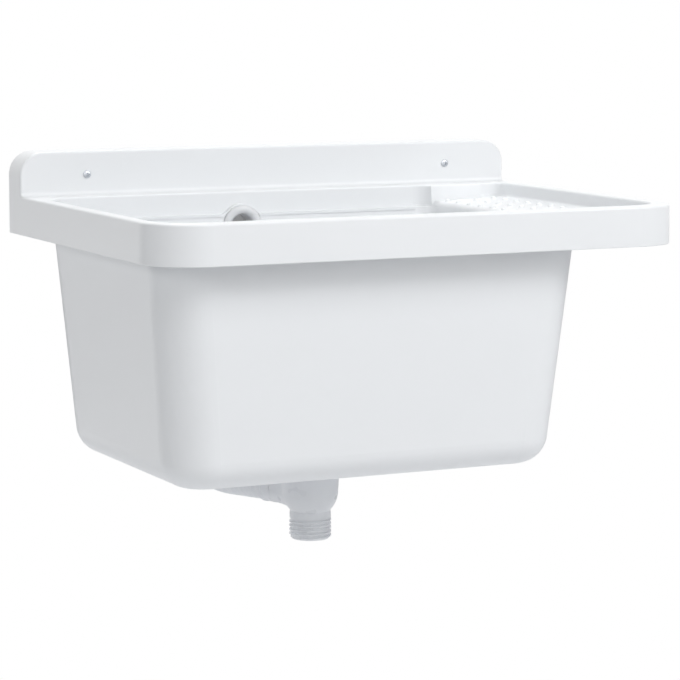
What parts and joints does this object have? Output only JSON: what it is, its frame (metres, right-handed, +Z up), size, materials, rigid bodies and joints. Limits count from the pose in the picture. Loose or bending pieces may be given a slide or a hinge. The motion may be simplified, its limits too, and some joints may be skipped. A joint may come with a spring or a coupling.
{
  "type": "utility sink",
  "caption": "Plastic wall-mounted laundry sink with a raised splash back, deep tapered bowl, nubbed soap tray, overflow and threaded waste.",
  "frame": {"origin": "on the wall's face, midway between the two wall screws", "axes": "+X to the right seen from the front, +Y into the wall, +Z up"},
  "size_m": [0.6, 0.49, 0.412],
  "materials": {
    "moulding": "satin white polypropylene moulding",
    "waste": "white polypropylene",
    "pipe": "white extruded polypropylene pipe",
    "plugs": "grey nylon",
    "screws": "zinc plated steel",
    "strainer": "polished stainless steel",
    "insert": "turned brass",
    "seals": "black rubber",
    "stopper": "black rubber"
  },
  "bodies": {
    "sink": {"basin": "moulding", "wall_screws": "screws", "wall_plugs": "plugs", "strainer": "strainer", "strainer_screw": "strainer", "strainer_gasket": "seals", "waste_gasket": "seals", "waste_body": "waste", "screw_insert": "insert", "overflow_ring": "waste", "overflow_seal": "seals", "overflow_gasket": "seals", "overflow_elbow": "waste", "overflow_pipe": "pipe", "pipe_collars": "waste"},
    "plug": {"stopper": "stopper"},
    "ring": {"stopper_ring": "strainer"}
  },
  "joints": [
    {"name": "stopper_lift", "type": "slide", "parent": "sink", "child": "plug", "axis": [0, 0, 1], "range_m": [0, 0.3]},
    {"name": "ring_swing", "type": "hinge", "parent": "plug", "child": "ring", "pos_m": [-0.04522, -0.24048, -0.2845], "axis": [-1, 0, 0], "range_deg": [0, 203.7]}
  ]
}
